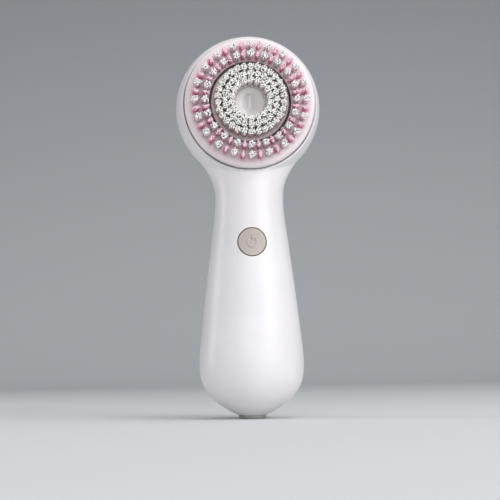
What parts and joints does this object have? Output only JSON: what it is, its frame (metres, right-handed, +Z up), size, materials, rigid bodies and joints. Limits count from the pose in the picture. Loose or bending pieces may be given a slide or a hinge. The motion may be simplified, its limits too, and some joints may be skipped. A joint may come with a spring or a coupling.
{
  "type": "facial cleansing brush",
  "caption": "Hand-held facial cleansing brush: round head with an oscillating bristle disc inside a fixed bristle ring, bulb handle with a power button and grey base cap.",
  "frame": {"origin": "centre of the flat underside of the base cap", "axes": "+Z up the handle to the head, -Y out of the brush face, +X to the right seen from the brush side"},
  "size_m": [0.059, 0.0471, 0.1562],
  "materials": {
    "white_shell": "satin glossy white ABS",
    "ring_white": "smooth white moulded plastic",
    "cap_grey": "matt warm grey plastic",
    "button_taupe": "soft-touch silicone",
    "seal_rubber": "black silicone rubber",
    "bristle_white": "fine nylon filament, ivory white",
    "bristle_pink": "fine nylon filament, pink",
    "steel": "turned stainless steel",
    "gold_contact": "gold-plated contact",
    "bronze": "sintered bronze",
    "copper": "enamelled copper wire",
    "core_steel": "stamped electrical steel laminations",
    "magnet": "nickel-plated magnet",
    "frame_plastic": "glass-filled black plastic",
    "board_green": "solder-masked circuit board",
    "chip_black": "moulded epoxy package",
    "cell_wrap": "heat-shrink cell sleeve"
  },
  "bodies": {
    "housing": {"front_housing": "white_shell", "rear_housing": "white_shell", "housing_gasket": "seal_rubber", "housing_screws": "steel", "screw_plugs": "white_shell", "base_cap": "cap_grey", "base_seal": "seal_rubber", "charging_contacts": "gold_contact", "bayonet_collar": "ring_white", "shaft_seal": "seal_rubber", "front_bearing": "bronze", "rear_bearing": "bronze", "return_spring": "steel", "stator_core": "core_steel", "coil_bobbin": "frame_plastic", "stator_coil": "copper", "motor_frame": "frame_plastic", "frame_screws": "steel", "button_seal": "seal_rubber", "tactile_switch": "steel", "circuit_board": "board_green", "controller_chip": "chip_black", "board_components": "chip_black", "battery_cell": "cell_wrap", "battery_holder": "frame_plastic", "board_screws": "steel"},
    "oscillating_disc": {"inner_disc": "ring_white", "inner_tufts": "bristle_white", "centre_cap": "ring_white", "drive_hub": "frame_plastic", "drive_shaft": "steel", "armature": "core_steel", "armature_magnets": "magnet"},
    "bristle_ring": {"brush_ring": "ring_white", "white_tufts": "bristle_white", "pink_tufts": "bristle_pink"},
    "button": {"power_button": "button_taupe"},
    "plunger": {"switch_plunger": "chip_black"}
  },
  "joints": [
    {"name": "disc_oscillation", "type": "hinge", "parent": "housing", "child": "oscillating_disc", "pos_m": [0, -0.0159, 0.1267], "axis": [0, -1, 0], "range_deg": [-8, 8], "stiffness_Nm_per_rad": 0.015},
    {"name": "ring_bayonet", "type": "hinge", "parent": "housing", "child": "bristle_ring", "pos_m": [0, -0.0165, 0.1267], "axis": [0, -1, 0], "range_deg": [0, 30]},
    {"name": "button_press", "type": "slide", "parent": "housing", "child": "button", "axis": [0, 1, 0], "range_m": [0, 0.0006], "stiffness_N_per_m": 1000},
    {"name": "plunger_press", "type": "slide", "parent": "housing", "child": "plunger", "axis": [0, 1, 0], "range_m": [0, 0.0006]}
  ],
  "couplings": [
    {"joint": "plunger_press", "follows": "button_press", "ratio": 1}
  ]
}
